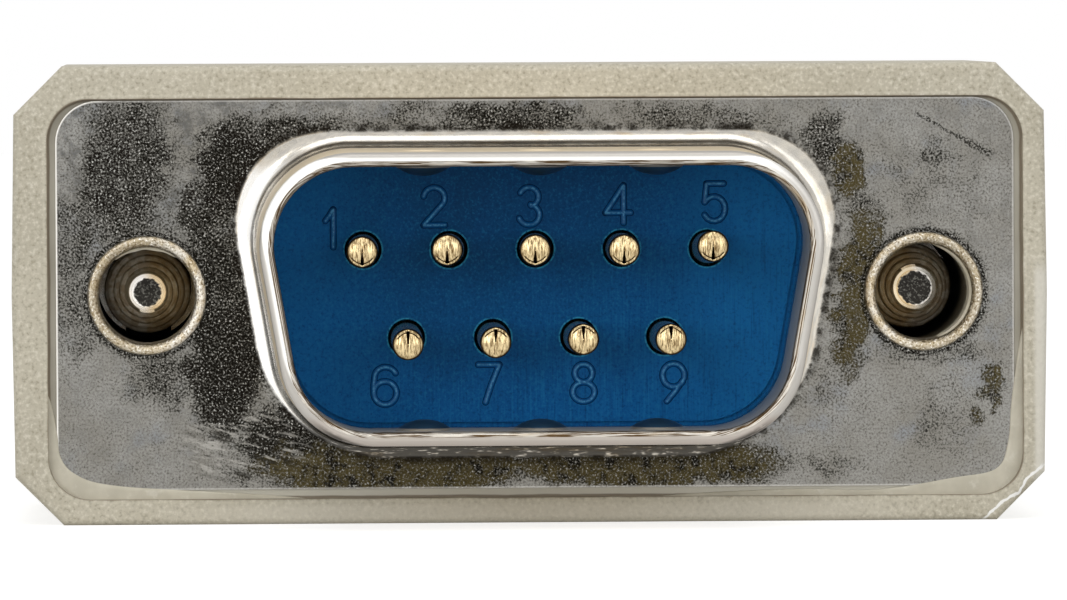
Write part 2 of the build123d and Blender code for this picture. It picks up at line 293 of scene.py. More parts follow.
# %% Floor and lens board
floor_size = 1.6
floor_own_light = 0.70
board_width = 0.012
board_top = 0.016
board_distance = 0.33
board_lift = 0.0003
board_grey = 0.05


def flat_panel(name, colour, corners):
    """A panel of the stage that doesn't shine, with its surface node and its wiring."""
    mesh = bpy.data.meshes.new(name)
    mesh.from_pydata(corners, [], [tuple(range(len(corners)))])
    panel = link_to_scene(bpy.data.objects.new(name, mesh))
    material = bpy.data.materials.new(name)
    material.use_nodes = True
    surface = material.node_tree.nodes["Principled BSDF"]
    surface.inputs["Base Color"].default_value = colour
    surface.inputs["Specular IOR Level"].default_value = 0.0
    surface.inputs["Emission Color"].default_value = (1, 1, 1, 1)
    mesh.materials.append(material)
    return panel, surface, Wiring(material.node_tree)


def make_floor():
    half, z = floor_size / 2, cad_box[0].z
    corners = [(-half, -half, z), (half, -half, z), (half, half, z), (-half, half, z)]
    floor, surface, w = flat_panel("floor", (0.62, 0.62, 0.61, 1), corners)
    surface.inputs["Roughness"].default_value = 0.9
    w.feed(surface.inputs["Emission Strength"], w.times(w.white_for_eye_and_mirror(), floor_own_light))


def make_lens_board():
    """A dark panel round the lens that only reflections see."""
    left, right = camera_place.x - board_width / 2, camera_place.x + board_width / 2
    y, z = -board_distance, cad_box[0].z + board_lift
    corners = [(left, y, z), (right, y, z), (right, y, board_top), (left, y, board_top)]
    board, surface, _ = flat_panel("lens_board", (0, 0, 0, 1), corners)
    surface.inputs["Emission Strength"].default_value = board_grey
    board.visible_camera = False
    board.visible_diffuse = False
    board.visible_transmission = False
    board.visible_shadow = False


make_floor()
make_lens_board()
print("floor at", round(cad_box[0].z / mm, 3), "mm")

# %% [markdown]
# ## A short way to write a material
#
# Every finish on this plug is a node tree on Object coordinates. The plug's pieces sit at the
# origin, so those coordinates are real places on the plug, and a stain, an edge or a bore can
# be addressed by its size in millimetres. `Recipe` adds to the wiring what finishes need: paint,
# noise and bump, and the outlines of parts as distances.

# %% The recipe helper
def paint(red, green, blue):
    """Linear colour of an sRGB colour given as 0 to 255."""
    channels = []
    for value in (red, green, blue):
        share = value / 255
        channels.append(share / 12.92 if share <= 0.04045 else ((share + 0.055) / 1.055) ** 2.4)
    return (*channels, 1.0)


class Recipe(Wiring):
    def __init__(self, name):
        self.material = bpy.data.materials.new(name)
        self.material.use_nodes = True
        super().__init__(self.material.node_tree)
        self.surface = self.tree.nodes["Principled BSDF"]
        coordinates = self.add("ShaderNodeTexCoord").outputs
        self.place = self.scaled(coordinates["Object"], 1 / mm)
        self.x, self.y, self.z = self.split(self.place)
        self.normal_x, self.normal_y, self.normal_z = self.split(coordinates["Normal"])

    def mix(self, share, a, b):
        """A colour between a and b."""
        node = self.add("ShaderNodeMix", data_type="RGBA")
        self.feed(node.inputs[0], share)
        self.feed(node.inputs[6], a)
        self.feed(node.inputs[7], b)
        return node.outputs[2]

    def tones(self, value, low, high, first, second):
        """The first paint below low, the second above high."""
        return self.mix(self.step(value, low, high), paint(*first), paint(*second))

    def over(self, under, coat, *shares):
        """A paint over what is there, as strongly as all the shares together."""
        return self.mix(self.times(*shares), under, paint(*coat))

    def blend(self, share, a, b):
        """A number between a and b."""
        node = self.add("ShaderNodeMix", data_type="FLOAT")
        for socket, value in zip(node.inputs[:1] + node.inputs[2:4], (share, a, b)):
            self.feed(socket, value)
        return node.outputs[0]

    def noise(self, size, detail=2.0, rough=0.5, shift=0.0, vector=None, stretch=None):
        """Noise from 0 to 1, with grains size millimetres apart, denser along a stretched axis."""
        if stretch is not None:
            vector = self.fed(self.add("ShaderNodeVectorMath", operation="MULTIPLY"), (self.place, stretch))
        node = self.add("ShaderNodeTexNoise", noise_dimensions="4D")
        self.feed(node.inputs["Vector"], vector or self.place)
        for key, value in (("W", shift), ("Scale", 1 / size), ("Detail", detail), ("Roughness", rough)):
            node.inputs[key].default_value = value
        return node.outputs["Fac"]

    def bump(self, height, depth, strength=1.0, under=None):
        """Bump whose height of 1 stands depth millimetres proud."""
        node = self.add("ShaderNodeBump")
        node.inputs["Strength"].default_value = strength
        node.inputs["Distance"].default_value = depth * mm
        self.feed(node.inputs["Height"], height)
        if under is not None:
            self.feed(node.inputs["Normal"], under)
        return node.outputs[0]

    def finish(self, colour, roughness, normal, metallic=0.0, specular=0.5):
        for key, value in (("Base Color", colour), ("Roughness", roughness), ("Normal", normal),
                           ("Metallic", metallic), ("Specular IOR Level", specular)):
            self.feed(self.surface.inputs[key], value)
        return self.material

    def travel(self, start, direction):
        """How far a place lies from start along a direction, both given as x and z."""
        return self.plus(self.times(self.minus(self.x, start[0]), direction[0]),
                         self.times(self.minus(self.z, start[1]), direction[1]))

    def rounded_box(self, centre_z, width, height, corner):
        """Distance in millimetres from a rounded rectangle that faces -Y, below 0 inside it."""
        over_x = self.minus(self.size(self.x), width / 2 - corner)
        over_z = self.minus(self.size(self.minus(self.z, centre_z)), height / 2 - corner)
        return self.round_corner(over_x, over_z, corner)

    def round_corner(self, over_a, over_b, corner):
        outside = self.length(self.most(over_a, 0.0), self.most(over_b, 0.0))
        inside = self.math("MINIMUM", self.most(over_a, over_b), 0.0)
        return self.minus(self.plus(outside, inside), corner)


def dress(names, material):
    """Gives CAD nodes their material. Their meshes stay as they are."""
    for name in names:
        node = nodes[name]
        node.data.materials.clear()
        node.data.materials.append(material)
    print("dressed", ", ".join(names))


# %% [markdown]
# ## The plug's own measures
#
# The finishes need to know where the flange, the pocket, the D opening and the screw holes are.
# These are the plug's driving sizes, in millimetres.

# %% Measures
flange_width, flange_height, flange_corner = 30.81, 12.50, 1.35
pocket_width, pocket_height, pocket_drop = 31.35, 12.85, 0.12
opening_width, opening_height, opening_corner = 16.92, 8.36, 2.5
side_lean = radians(10)
pin_pitch, row_gap, pin_hole_radius = 2.77, 2.84, 0.6
face_y = 0.30
# The right screw's point is a little wider than the left one's
right_point_extra = 0.09
frame_front = -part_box("hood")[0].y / mm
point_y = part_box("left_screw")[0].y / mm
screw_x = (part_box("right_eyelet")[0].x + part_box("right_eyelet")[1].x) / 2 / mm
print(f"screws at {screw_x:.3f} mm, hood front {frame_front:.2f} mm proud")


def d_distance(r):
    """Distance in millimetres from the D opening's outline, below 0 inside it."""
    over_z = r.minus(r.size(r.z), opening_height / 2 - opening_corner)
    corner_lead = opening_corner * ((1 + sin(side_lean)) / cos(side_lean) - 1)
    mid_half_width = opening_width / 2 + corner_lead - opening_height / 2 * tan(side_lean)
    beside = r.minus(r.minus(r.size(r.x), mid_half_width), r.times(r.z, tan(side_lean)))
    over_side = r.plus(r.times(beside, cos(side_lean)), opening_corner)
    return r.round_corner(over_side, over_z, opening_corner)


def screw_distance(r):
    """Distance in millimetres from the nearer screw's axis."""
    return r.length(r.minus(r.size(r.x), screw_x), r.z)


# %% [markdown]
# ## The hood
#
# The hood is one moulding of soft beige PVC. Its mould was spark-eroded, which leaves a fine
# grain that glitters a little. The floor of the pocket, where the steel tool pressed against the
# flange, is smooth and darker, but its bottom strip is painted lighter against shade. A brown line
# along the pocket's edge is dirt in the corner and painted shade of the step. Deep down, the
# bores of the screws are painted black as shade. The frame's bottom strip is painted lighter, and
# the right side's lower edge and the flash on the lower right corner carry painted highlights.

# %% Hood material
# A place on the lower right corner's cut edge, and the direction across that edge
flash_place = (16.48, -5.77)
across_flash = (-0.668, 0.743)


def moulded_pvc():
    r = Recipe("spark_eroded_pvc")
    wander = r.times(r.minus(r.noise(1.6, 3.0), 0.5), 0.10)
    pocket = r.plus(r.rounded_box(-pocket_drop, pocket_width, pocket_height, flange_corner), wander)
    near_front = r.step(r.y, 0.3, 0.1)
    in_pocket = r.times(r.step(pocket, 0.03, -0.03), near_front)

    grain = r.noise(0.13, 2.0, 0.6)
    cloud = r.noise(4.0, 3.0, 0.6, shift=3.0)
    beige = r.tones(cloud, 0.35, 0.65, (189, 182, 163), (198, 191, 172))
    beige = r.over(beige, (222, 216, 200), r.step(grain, 0.50, 0.70), 0.75)
    beige = r.over(beige, (158, 150, 130), r.step(grain, 0.48, 0.30), 0.75)
    # Painted light: the middle of the frame's bottom strip is painted paler, against the shade there
    bottom_painted_light = r.times(r.step(r.z, -6.5, -6.9), r.band(r.x, 0.0, 14.0, 8.0))
    beige = r.over(beige, (228, 222, 206), bottom_painted_light, 0.6)
    # Painted highlight: a pale band down the right edge's lower half stands in for the lit side wall
    lit_side_band = r.times(r.step(r.x, 15.95, 16.15), r.step(r.z, 1.2, 0.4), r.step(r.y, 1.2, 0.4))
    beige = r.over(beige, (226, 222, 210), lit_side_band, 0.75)
    # Painted highlight: the flash on the lower right corner's cut edge is painted white where it glints
    edge_wander = r.line(r.noise(0.7, 3.0, 0.6, shift=11.0), 0.5, -0.47)
    painted_glint = r.band(r.plus(r.travel(flash_place, across_flash), edge_wander), 0.0, 0.07, 0.03)
    near_corner = r.times(r.step(r.x, 14.2, 14.5), r.step(r.z, -5.5, -5.7), near_front)
    beige = r.over(beige, (255, 254, 250), painted_glint, near_corner, r.step(cloud, 0.40, 0.44))

    smooth = r.tones(r.noise(2.2, 2.0), 0.35, 0.7, (188, 183, 168), (172, 166, 150))
    # Painted light: the pocket floor's bottom strip is painted lighter against the shade that falls there
    smooth = r.over(smooth, (214, 210, 196), r.step(r.z, -6.1, -6.3), 0.8)
    colour = r.mix(in_pocket, beige, smooth)
    # A brown line along the pocket's edge, dirt in the corner and painted shade of the step, and a pale
    # line outside it, a painted highlight on the ridge
    colour = r.over(colour, (110, 94, 70), r.band(pocket, -0.03, 0.075, 0.02), near_front, 0.8)
    colour = r.over(colour, (214, 208, 190), r.band(pocket, 0.10, 0.06, 0.0), near_front, 0.35)

    # Painted shade: deep down, the screws' bores are painted nearly black
    deep_in_bore_shade = r.times(r.step(r.y, 5.5, 8.0), r.step(r.y, 12.95, 12.5))
    colour = r.over(colour, (12, 10, 9), r.step(screw_distance(r), 1.95, 1.85), deep_in_bore_shade)
    normal = r.bump(r.times(grain, r.less(in_pocket)), 0.018, 0.8)
    return r.finish(colour, r.blend(in_pocket, 0.62, 0.42), normal)


dress(["hood"], moulded_pvc())

# %% [markdown]
# ## Steel
#
# The front shell is one pressing, but it shows two faces. The flat flange is tarnished: the
# nickel has gone dull, grainy patches spread from the foot of the D wall, and the
# lowest strip is stained olive. The denser tarnish carries painted glints. The drawn wall and
# its rolled foot are still bright, with faint golden lines along the drawing direction. The
# foot's left side, the lip's inner edge and the flange's edge carry painted highlights, the
# foot's lower part painted shade, and the wall's dimples a painted reflection of the blue insulator.
#
# The patches are a short list of soft ovals. They don't paint anything themselves: together they
# make one share of tarnish, and that share moves the threshold at which a fine noise turns
# from clean nickel to dark specks. So a patch fades out into single specks, as real tarnish does.

# %% Tarnish patches
# Each patch: centre x, centre z, half width, half height in millimetres, and its strength
tarnish_patches = {
    "left column": (-13.2, 4.1, 1.45, 2.3, 0.74),
    "left edge": (-14.9, 1.9, 0.9, 1.3, 0.62),
    "left low edge": (-14.9, -0.3, 0.8, 1.8, 0.45),
    "column foot": (-11.9, 2.6, 0.9, 1.4, 0.45),
    "shoulder": (-9.3, 4.0, 1.5, 1.4, 1.05),
    "shoulder end": (-10.6, 2.6, 0.9, 1.3, 0.85),
    "shoulder top": (-7.8, 5.15, 2.2, 0.7, 0.75),
    "left of shell": (-10.2, 0.5, 1.0, 2.2, 0.85),
    "left of shell low": (-10.0, -2.0, 1.2, 2.2, 1.0),
    "below left eyelet": (-11.6, -2.7, 1.6, 0.9, 0.55),
    "lower left of shell": (-8.0, -4.7, 1.5, 1.0, 0.9),
    "below shell left": (-4.6, -5.5, 4.2, 0.85, 1.1),
    "below shell right": (3.4, -5.5, 4.0, 0.75, 1.1),
    "above shell left": (-3.9, 5.65, 1.0, 0.6, 0.45),
    "above shell middle": (-0.9, 5.55, 2.2, 0.55, 0.75),
    "above shell right": (5.2, 5.45, 2.4, 0.6, 0.45),
    "right shoulder": (9.35, 4.9, 0.6, 0.9, 0.70),
    "right shoulder low": (10.1, 3.9, 0.55, 0.8, 0.85),
    "right of shell high": (10.5, 2.6, 0.45, 0.9, 0.50),
    "right of shell": (10.6, 0.8, 0.75, 1.7, 0.90),
    "right of shell low": (10.1, -1.2, 0.55, 1.5, 0.90),
    "right of shell foot": (9.5, -2.8, 0.45, 0.9, 0.30),
    "lower right of shell": (9.8, -4.0, 0.8, 1.0, 0.12),
    "bottom right": (9.6, -5.6, 1.0, 0.35, 0.40),
    "upper right": (12.9, 3.5, 2.0, 1.2, 0.22),
    "upper right spot": (12.8, 4.55, 0.45, 0.4, 0.55),
    "under right eyelet": (12.8, -1.9, 1.7, 0.5, 0.45),
    "lower right cloud": (13.2, -4.0, 0.9, 1.2, 0.25),
    "spot": (14.85, -2.75, 0.42, 0.45, 0.85),
    "spot under": (14.6, -3.35, 0.36, 0.35, 0.85),
    "dot": (14.1, -4.1, 0.22, 0.22, 0.75),
}
olive_patches = {"below shell right", "below shell left", "right of shell", "right of shell low",
                 "spot", "spot under", "dot", "right shoulder low"}


def patch_shares(r, x, z):
    """How strongly all patches, and the olive ones, cover a place, from 0 to 1."""
    total, olive = 0.0, 0.0
    for name, (patch_x, patch_z, half_width, half_height, strength) in tarnish_patches.items():
        across = r.math("DIVIDE", r.minus(x, patch_x), half_width)
        upright = r.math("DIVIDE", r.minus(z, patch_z), half_height)
        away = r.plus(r.times(across, across), r.times(upright, upright))
        share = r.times(r.step(away, 2.2, 0.2), strength)
        total = r.most(total, share)
        if name in olive_patches:
            olive = r.most(olive, share)
    return total, olive


# %% Flange: tarnish, rub marks and a crack
rub_place = (-9.4, -4.9)
rub_slant = 0.3
crack_start = (12.26, 5.75)
crack_direction = (0.874, -0.486)
across_crack = (0.486, 0.874)
eyelet_rim_radius = 1.99


def flange_finish(r, shell):
    """Colour of the flat flange, with its share of dark specks, its tarnish and two noises."""
    wobble_x = r.plus(r.x, r.line(r.noise(1.1, 4.0, 0.65), 2.0, -1.0))
    wobble_z = r.plus(r.z, r.line(r.noise(1.1, 4.0, 0.65, shift=7.0), 1.6, -0.8))
    tarnish, olive = patch_shares(r, wobble_x, wobble_z)
    from_screw = screw_distance(r)
    ring = r.times(r.step(shell, 1.9, 1.1), r.blend(r.step(r.x, 4.0, 0.0), 0.20, 0.45))
    tarnish = r.most(tarnish, ring, r.times(r.step(from_screw, 2.35, 1.95), 0.50))

    # Tarnish moves the threshold of the specks
    speck = r.noise(0.072, 2.0, 0.7)
    coarse = r.noise(0.40, 3.0, 0.65, shift=5.0)
    cloud = r.noise(2.6, 3.0, 0.6, shift=9.0)
    density = r.plus(tarnish, r.line(coarse, 1.1, -0.47), r.line(cloud, 0.5, -0.25))
    density = r.math("MINIMUM", r.most(density, 0.0), 1.0)
    dark_share = r.step(r.minus(speck, r.line(density, 0.23, 0.355)), 0.10, -0.10)

    clean = r.tones(cloud, 0.3, 0.7, (152, 151, 147), (136, 133, 126))
    bluish = r.step(r.noise(1.7, 3.0, 0.6, shift=12.0), 0.52, 0.75)
    clean = r.over(clean, (128, 137, 151), bluish, 0.55)
    mottle = r.noise(0.6, 4.0, 0.7, shift=15.0)
    leftness = r.blend(r.step(r.x, 4.0, -12.0), 0.25, 0.75)
    upness = r.blend(r.step(r.z, -0.5, 1.5), 0.25, 1.0)
    clean = r.over(clean, (74, 75, 76), r.step(mottle, 0.56, 0.36), r.times(leftness, upness))
    clean = r.over(clean, (106, 103, 96), r.step(speck, 0.62, 0.38), 0.6)

    dull = r.over(clean, (112, 110, 104), r.step(density, 0.10, 0.90))
    olive_share = r.step(olive, 0.3, 0.8)
    # Painted highlights: bright glints in the denser tarnish
    painted_glints = r.times(r.step(speck, 0.59, 0.69), r.step(density, 0.35, 0.90))
    dull = r.over(dull, (214, 213, 208), painted_glints, r.blend(olive_share, 1.0, 0.45))
    stain = r.tones(density, 0.0, 0.70, (92, 89, 83), (20, 18, 14))
    stain = r.over(stain, (78, 70, 44), olive_share, r.step(coarse, 0.36, 0.56), 0.8)
    colour = r.mix(dark_share, dull, stain)

    # Rub marks lie in the lower left, and run a little downwards
    along_mark = r.minus(r.x, r.times(r.z, rub_slant))
    across_mark = r.plus(r.z, r.times(r.x, rub_slant))
    marks = r.noise(0.17, 3.0, 0.6, shift=2.0, vector=r.join(r.times(along_mark, 0.2), 0.0, across_mark))
    beside = r.times(r.minus(r.x, rub_place[0]), 0.52)
    above = r.times(r.minus(r.z, rub_place[1]), 0.85)
    rubbed_zone = r.step(r.plus(r.times(beside, beside), r.times(above, above)), 1.6, 0.3)
    colour = r.over(colour, (176, 173, 166), r.step(marks, 0.52, 0.64), rubbed_zone, 0.65)
    colour = r.over(colour, (40, 38, 33), r.step(marks, 0.47, 0.37), rubbed_zone, 0.75)

    # A fine crack in the upper right wanders a little and gets wider towards its end
    along_crack = r.travel(crack_start, crack_direction)
    from_crack = r.size(r.plus(r.travel(crack_start, across_crack), r.line(mottle, 0.5, -0.25)))
    crack_width = r.blend(r.step(along_crack, 1.0, 2.2), 0.07, 0.17)
    crack = r.times(r.step(r.math("DIVIDE", from_crack, crack_width), 1.0, 0.4),
                    r.step(along_crack, -0.1, 0.1), r.step(along_crack, 2.95, 2.7))
    colour = r.over(colour, (28, 26, 22), crack, r.step(speck, 0.58, 0.46), 0.9)

    eyelet_dirt = r.times(r.band(from_screw, eyelet_rim_radius, 0.12, 0.02), r.step(speck, 0.58, 0.48))
    colour = r.over(colour, (20, 18, 14), eyelet_dirt)
    return colour, dark_share, density, speck, coarse


# %% D wall, its foot and its lip
def wall_finish(r, shell, streak):
    """Colour of the drawn wall, with its golden flank's share and the lip's."""
    # Where outward is above 0 a face looks away from the plug's middle
    outward = r.plus(r.times(r.normal_x, r.x), r.times(r.normal_z, r.z))
    colour = r.tones(streak, 0.35, 0.65, (186, 182, 174), (204, 198, 187))
    gold = r.step(r.noise(1.2, 3.0, 0.7, shift=4.0, stretch=(0.6, 9.0, 0.6)), 0.5, 0.7)
    colour = r.over(colour, (184, 158, 116), gold, 0.5)
    # Painted highlight: the foot's left side is painted white
    left_foot_highlight = r.times(r.step(r.x, -5.5, -7.5), r.step(r.z, 4.5, 3.7), r.step(r.y, -1.6, -1.0))
    colour = r.over(colour, (250, 248, 244), left_foot_highlight, r.step(shell, 0.45, 0.5))
    flank = r.times(r.step(r.y, -5.55, -5.35), r.step(r.y, -0.9, -1.4), r.step(outward, 0.0, 0.3))
    colour = r.over(colour, (232, 212, 176), flank, 0.7)
    # The punch has torn the inner edge, in lines that run round it
    sheared = r.times(r.step(outward, 0.2, -0.6), r.step(r.y, -5.45, -5.75))
    round_edge = r.join(shell, r.times(r.y, 0.6), r.times(r.x, 0.03))
    torn = r.noise(0.035, 2.0, 0.6, vector=round_edge)
    colour = r.over(colour, (84, 64, 40), sheared, r.step(torn, 0.45, 0.58))
    # Painted reflection: the dimples in the wall are painted blue, as they mirror the insulator
    blue_reflection_in_dimple = r.times(r.step(shell, -0.03, -0.07), r.band(r.x, 0.0, 5.4, 5.0))
    colour = r.over(colour, (58, 92, 122), blue_reflection_in_dimple)

    on_lip = r.step(r.y, -5.5, -5.7)
    # Painted light on the lip: white along its inner edge as a highlight, except along the bottom, and a
    # little darker on the right side as shade
    lip_with_highlight = r.tones(shell, 0.34, 0.24, (176, 172, 166), (250, 249, 245))
    lip_with_highlight = r.over(lip_with_highlight, (172, 168, 162), r.step(r.x, 6.5, 8.5), 0.85)
    lip_with_highlight = r.mix(r.step(r.z, -3.9, -3.6), paint(174, 166, 158), lip_with_highlight)
    return r.mix(r.times(on_lip, r.less(sheared)), colour, lip_with_highlight), flank, on_lip


# %% Shell material
def tarnished_nickel():
    r = Recipe("tarnished_nickel")
    shell = d_distance(r)
    streak = r.noise(0.5, 2.0, 0.6, stretch=(1.0, 14.0, 1.0))
    flange, dark_share, density, speck, coarse = flange_finish(r, shell)
    wall, flank, on_lip = wall_finish(r, shell, streak)
    on_wall = r.most(r.step(shell, 1.12, 1.0), r.step(r.y, -0.25, -0.5))
    colour = r.mix(on_wall, flange, wall)
    # The foot's lower part is painted dark as shade, a dark line runs all along the foot's edge,
    # and the flange's edge gets a painted highlight, strongest on the left
    lower_foot_shade = r.times(r.step(shell, 0.45, 0.6), r.step(shell, 1.15, 1.05), r.step(r.z, -3.6, -4.5))
    colour = r.over(colour, (22, 19, 14), lower_foot_shade, r.step(streak, 0.70, 0.55), 0.85)
    foot_edge_dark = r.times(r.step(shell, 1.0, 1.08), r.step(shell, 1.4, 1.15), 0.85)
    colour = r.over(colour, (26, 22, 17), foot_edge_dark, r.step(coarse, 0.4, 0.6))
    from_edge = r.rounded_box(0.0, flange_width, flange_height, flange_corner)
    edge_highlight_strength = r.blend(r.step(r.x, -13.4, -14.6), 0.30, 0.95)
    colour = r.over(colour, (240, 237, 230), r.step(from_edge, -0.07, -0.02), edge_highlight_strength)

    drawn = r.most(on_lip, r.step(r.y, -0.7, -1.2))
    roughness = r.blend(on_wall, r.blend(dark_share, 0.32, 0.45), r.blend(drawn, 0.20, 0.48))
    depth = r.blend(on_wall, r.blend(density, 0.3, 1.0), 0.05)
    normal = r.bump(r.times(speck, depth), 0.03, 0.7)
    return r.finish(colour, roughness, normal, metallic=r.blend(flank, 1.0, 0.55))


dress(["front_shell"], tarnished_nickel())

# %% [markdown]
# The second pressing lies behind the first and only its edge shows in the gap of the pocket, so
# it gets a plainer finish of the same dull nickel.

# %% Rear shell material
def plain_nickel():
    r = Recipe("plain_nickel")
    speck = r.noise(0.09, 2.0)
    colour = r.tones(r.noise(1.5, 3.0), 0.35, 0.65, (176, 173, 165), (146, 141, 130))
    colour = r.over(colour, (90, 84, 72), r.step(speck, 0.5, 0.35), 0.4)
    return r.finish(colour, 0.38, r.bump(speck, 0.01, 0.6), metallic=1.0)


dress(["rear_shell"], plain_nickel())

# %% [markdown]
# ## Insulators
#
# The insulators are moulded in deep blue. The front face came off a ground tool,
# so fine upright streaks run down it, clearest towards the lower right. The blue is painted
# darker towards the upper left and lighter towards the lower right and the sides, as shade and light.

# %% Insulator material
def streaked_blue():
    r = Recipe("streaked_blue")
    streak = r.noise(0.07, 2.0, 0.6, stretch=(1.0, 1.0, 0.035))
    broad = r.noise(0.9, 2.0, 0.6, shift=3.0, stretch=(1.0, 1.0, 0.2))
    grain = r.noise(0.09, 2.0, 0.7, shift=8.0)
    # Painted shade and light: the blue is darker towards the upper left and lighter towards the lower
    # right, the sides and the right; the streaks grow clearer towards the lower right
    slope = r.line(r.x, 0.035, r.line(r.z, -0.075, 0.5))
    colour = r.tones(slope, 0.1, 0.95, (11, 70, 122), (16, 98, 168))
    colour = r.over(colour, (12, 76, 140), r.step(broad, 0.35, 0.7), 0.3)
    colour = r.over(colour, (16, 104, 176), r.step(r.size(r.x), 2.5, 8.0), 0.8)
    colour = r.over(colour, (24, 116, 190), r.step(r.x, 3.5, 8.0), 0.6)
    strength = r.blend(r.step(slope, 0.35, 0.9), 0.06, 0.45)
    colour = r.over(colour, (30, 128, 190), r.step(streak, 0.52, 0.72), strength)
    colour = r.over(colour, (8, 54, 104), r.step(streak, 0.45, 0.3), strength)
    colour = r.over(colour, (30, 122, 176), r.step(grain, 0.50, 0.72), 0.45)
    colour = r.over(colour, (6, 50, 96), r.step(grain, 0.50, 0.28), 0.45)
    # A pale line round each pin hole is a painted highlight on its edge. The lower row has one hole
    # less, so its pattern ends before the upper one's
    below = r.math("LESS_THAN", r.z, 0.0)
    along = r.math("PINGPONG", r.plus(r.x, r.times(below, pin_pitch / 2)), pin_pitch / 2)
    from_pin = r.length(along, r.minus(r.size(r.z), row_gap / 2))
    rim = r.band(from_pin, pin_hole_radius + 0.02, 0.045, 0.012)
    on_face = r.times(r.step(r.size(r.x), 6.4, 6.2), r.step(r.y, face_y + 0.05, face_y + 0.02))
    past_lower_row = r.times(below, r.math("GREATER_THAN", r.size(r.x), 4.9))
    rim = r.times(rim, on_face, r.less(past_lower_row))
    colour = r.over(colour, (52, 158, 204), rim, r.step(grain, 0.36, 0.56), 0.85)
    return r.finish(colour, 0.30, r.bump(streak, 0.004, 0.5), specular=0.06)


dress(["front_insulator", "rear_insulator"], streaked_blue())

# %% First moulding material
def pale_polymer():
    r = Recipe("pale_polymer")
    colour = r.tones(r.noise(2.0, 3.0), 0.35, 0.65, (196, 195, 188), (182, 181, 172))
    return r.finish(colour, 0.5, r.bump(r.noise(0.2), 0.01, 0.5))


dress(["inner_mould"], pale_polymer())

# %% [markdown]
# ## Gold, brass and turned steel
#
# The pins carry thin gold over drawn brass, rubbed along their length. The eyelets are
# worn nickel on brass: rough, golden where the nickel is gone. The screws are turned, so
# their finish has rings round the axis.

# %% Metal materials for pins, eyelets and screws
def rubbed_gold():
    r = Recipe("rubbed_gold")
    rub = r.noise(0.045, 3.0, 0.65, stretch=(1.0, 0.5, 0.14))
    pits = r.noise(0.06, 2.0, 0.6, shift=6.0)
    colour = r.tones(rub, 0.36, 0.60, (112, 88, 54), (230, 208, 162))
    colour = r.over(colour, (96, 74, 42), r.step(pits, 0.40, 0.28), 0.7)
    # On the nose, what doesn't face the front is painted brown as shade: the valley's walls, the slit and
    # the rim
    turned_away_shade = r.step(r.size(r.normal_y), 0.95, 0.72)
    colour = r.over(colour, (70, 50, 26), turned_away_shade, r.step(r.y, -4.4, -4.6), 0.85)
    return r.finish(colour, 0.24, r.bump(rub, 0.012, 0.8), metallic=1.0)


def worn_eyelet():
    r = Recipe("worn_eyelet")
    speck = r.noise(0.075, 2.0, 0.7)
    worn = r.noise(0.5, 3.0, 0.6, shift=4.0)
    colour = r.tones(worn, 0.4, 0.62, (214, 208, 196), (192, 176, 146))
    shell_side = r.step(r.minus(r.size(r.x), screw_x), 0.3, -1.3)
    colour = r.over(colour, (164, 152, 128), r.less(shell_side), 0.7)
    colour = r.over(colour, (100, 82, 54), r.step(speck, 0.50, 0.36), 0.8)
    colour = r.over(colour, (252, 250, 244), r.step(speck, 0.56, 0.68), 0.8)
    funnel = r.bump(r.step(screw_distance(r), 1.45, 1.95), 0.09)
    return r.finish(colour, 0.34, r.bump(speck, 0.05, 0.8, under=funnel), metallic=1.0)


def turned_steel():
    r = Recipe("turned_steel")
    radius = screw_distance(r)
    rings = r.noise(0.05, 2.0, 0.6, vector=r.join(radius, r.y, 0.0))
    colour = r.tones(rings, 0.35, 0.65, (232, 216, 186), (206, 178, 134))
    # Painted highlight: the screw's side away from the plug's middle is painted nearly white
    outer_side_highlight = r.step(r.minus(r.size(r.x), screw_x), -0.25, 0.25)
    colour = r.over(colour, (252, 250, 246), outer_side_highlight, 0.85)
    # Beyond the cone the thread is browner in patches
    brown_patches = r.step(r.noise(0.30, 2.0, 0.6, shift=8.0), 0.60, 0.46)
    colour = r.over(colour, (170, 138, 92), r.step(radius, 0.66, 0.74), brown_patches, 0.5)
    # The flat end is painted dark as a reflection of the lens, with a ragged edge
    ragged = r.plus(radius, r.line(r.noise(0.14, 3.0, 0.6, shift=5.0), 0.22, -0.11))
    ragged = r.minus(ragged, r.times(r.math("GREATER_THAN", r.x, 0.0), right_point_extra))
    end = r.times(r.step(r.y, point_y + 0.03, point_y + 0.01), r.step(ragged, 0.48, 0.42))
    dark_end_reflection = r.tones(r.noise(0.07, 2.0, 0.6), 0.5, 0.65, (44, 42, 39), (100, 98, 92))
    colour = r.mix(end, colour, dark_end_reflection)
    # The cone round it is smoother than the thread, but for its turning marks
    on_cone = r.times(r.step(r.y, point_y + 0.08, point_y + 0.05), r.step(radius, 0.72, 0.69))
    normal = r.bump(r.times(rings, r.blend(on_cone, 0.15, 1.0)), 0.004, 0.4)
    return r.finish(colour, r.blend(on_cone, 0.24, 0.14), normal, metallic=1.0)


gold = rubbed_gold()
steel = turned_steel()
dress([f"contact_{i}" for i in range(1, 10)], gold)
dress(["left_eyelet", "right_eyelet"], worn_eyelet())
dress(["left_screw", "right_screw", "left_retainer", "right_retainer"], steel)

# %% Thumb head material
def satin_plastic():
    r = Recipe("satin_plastic")
    grain = r.noise(0.12, 2.0)
    colour = r.tones(r.noise(2.5, 3.0), 0.35, 0.65, (184, 177, 158), (174, 167, 148))
    colour = r.over(colour, (206, 200, 182), r.step(grain, 0.58, 0.75), 0.4)
    return r.finish(colour, 0.45, r.bump(grain, 0.01, 0.6))


dress(["left_thumb_head", "right_thumb_head"], satin_plastic())

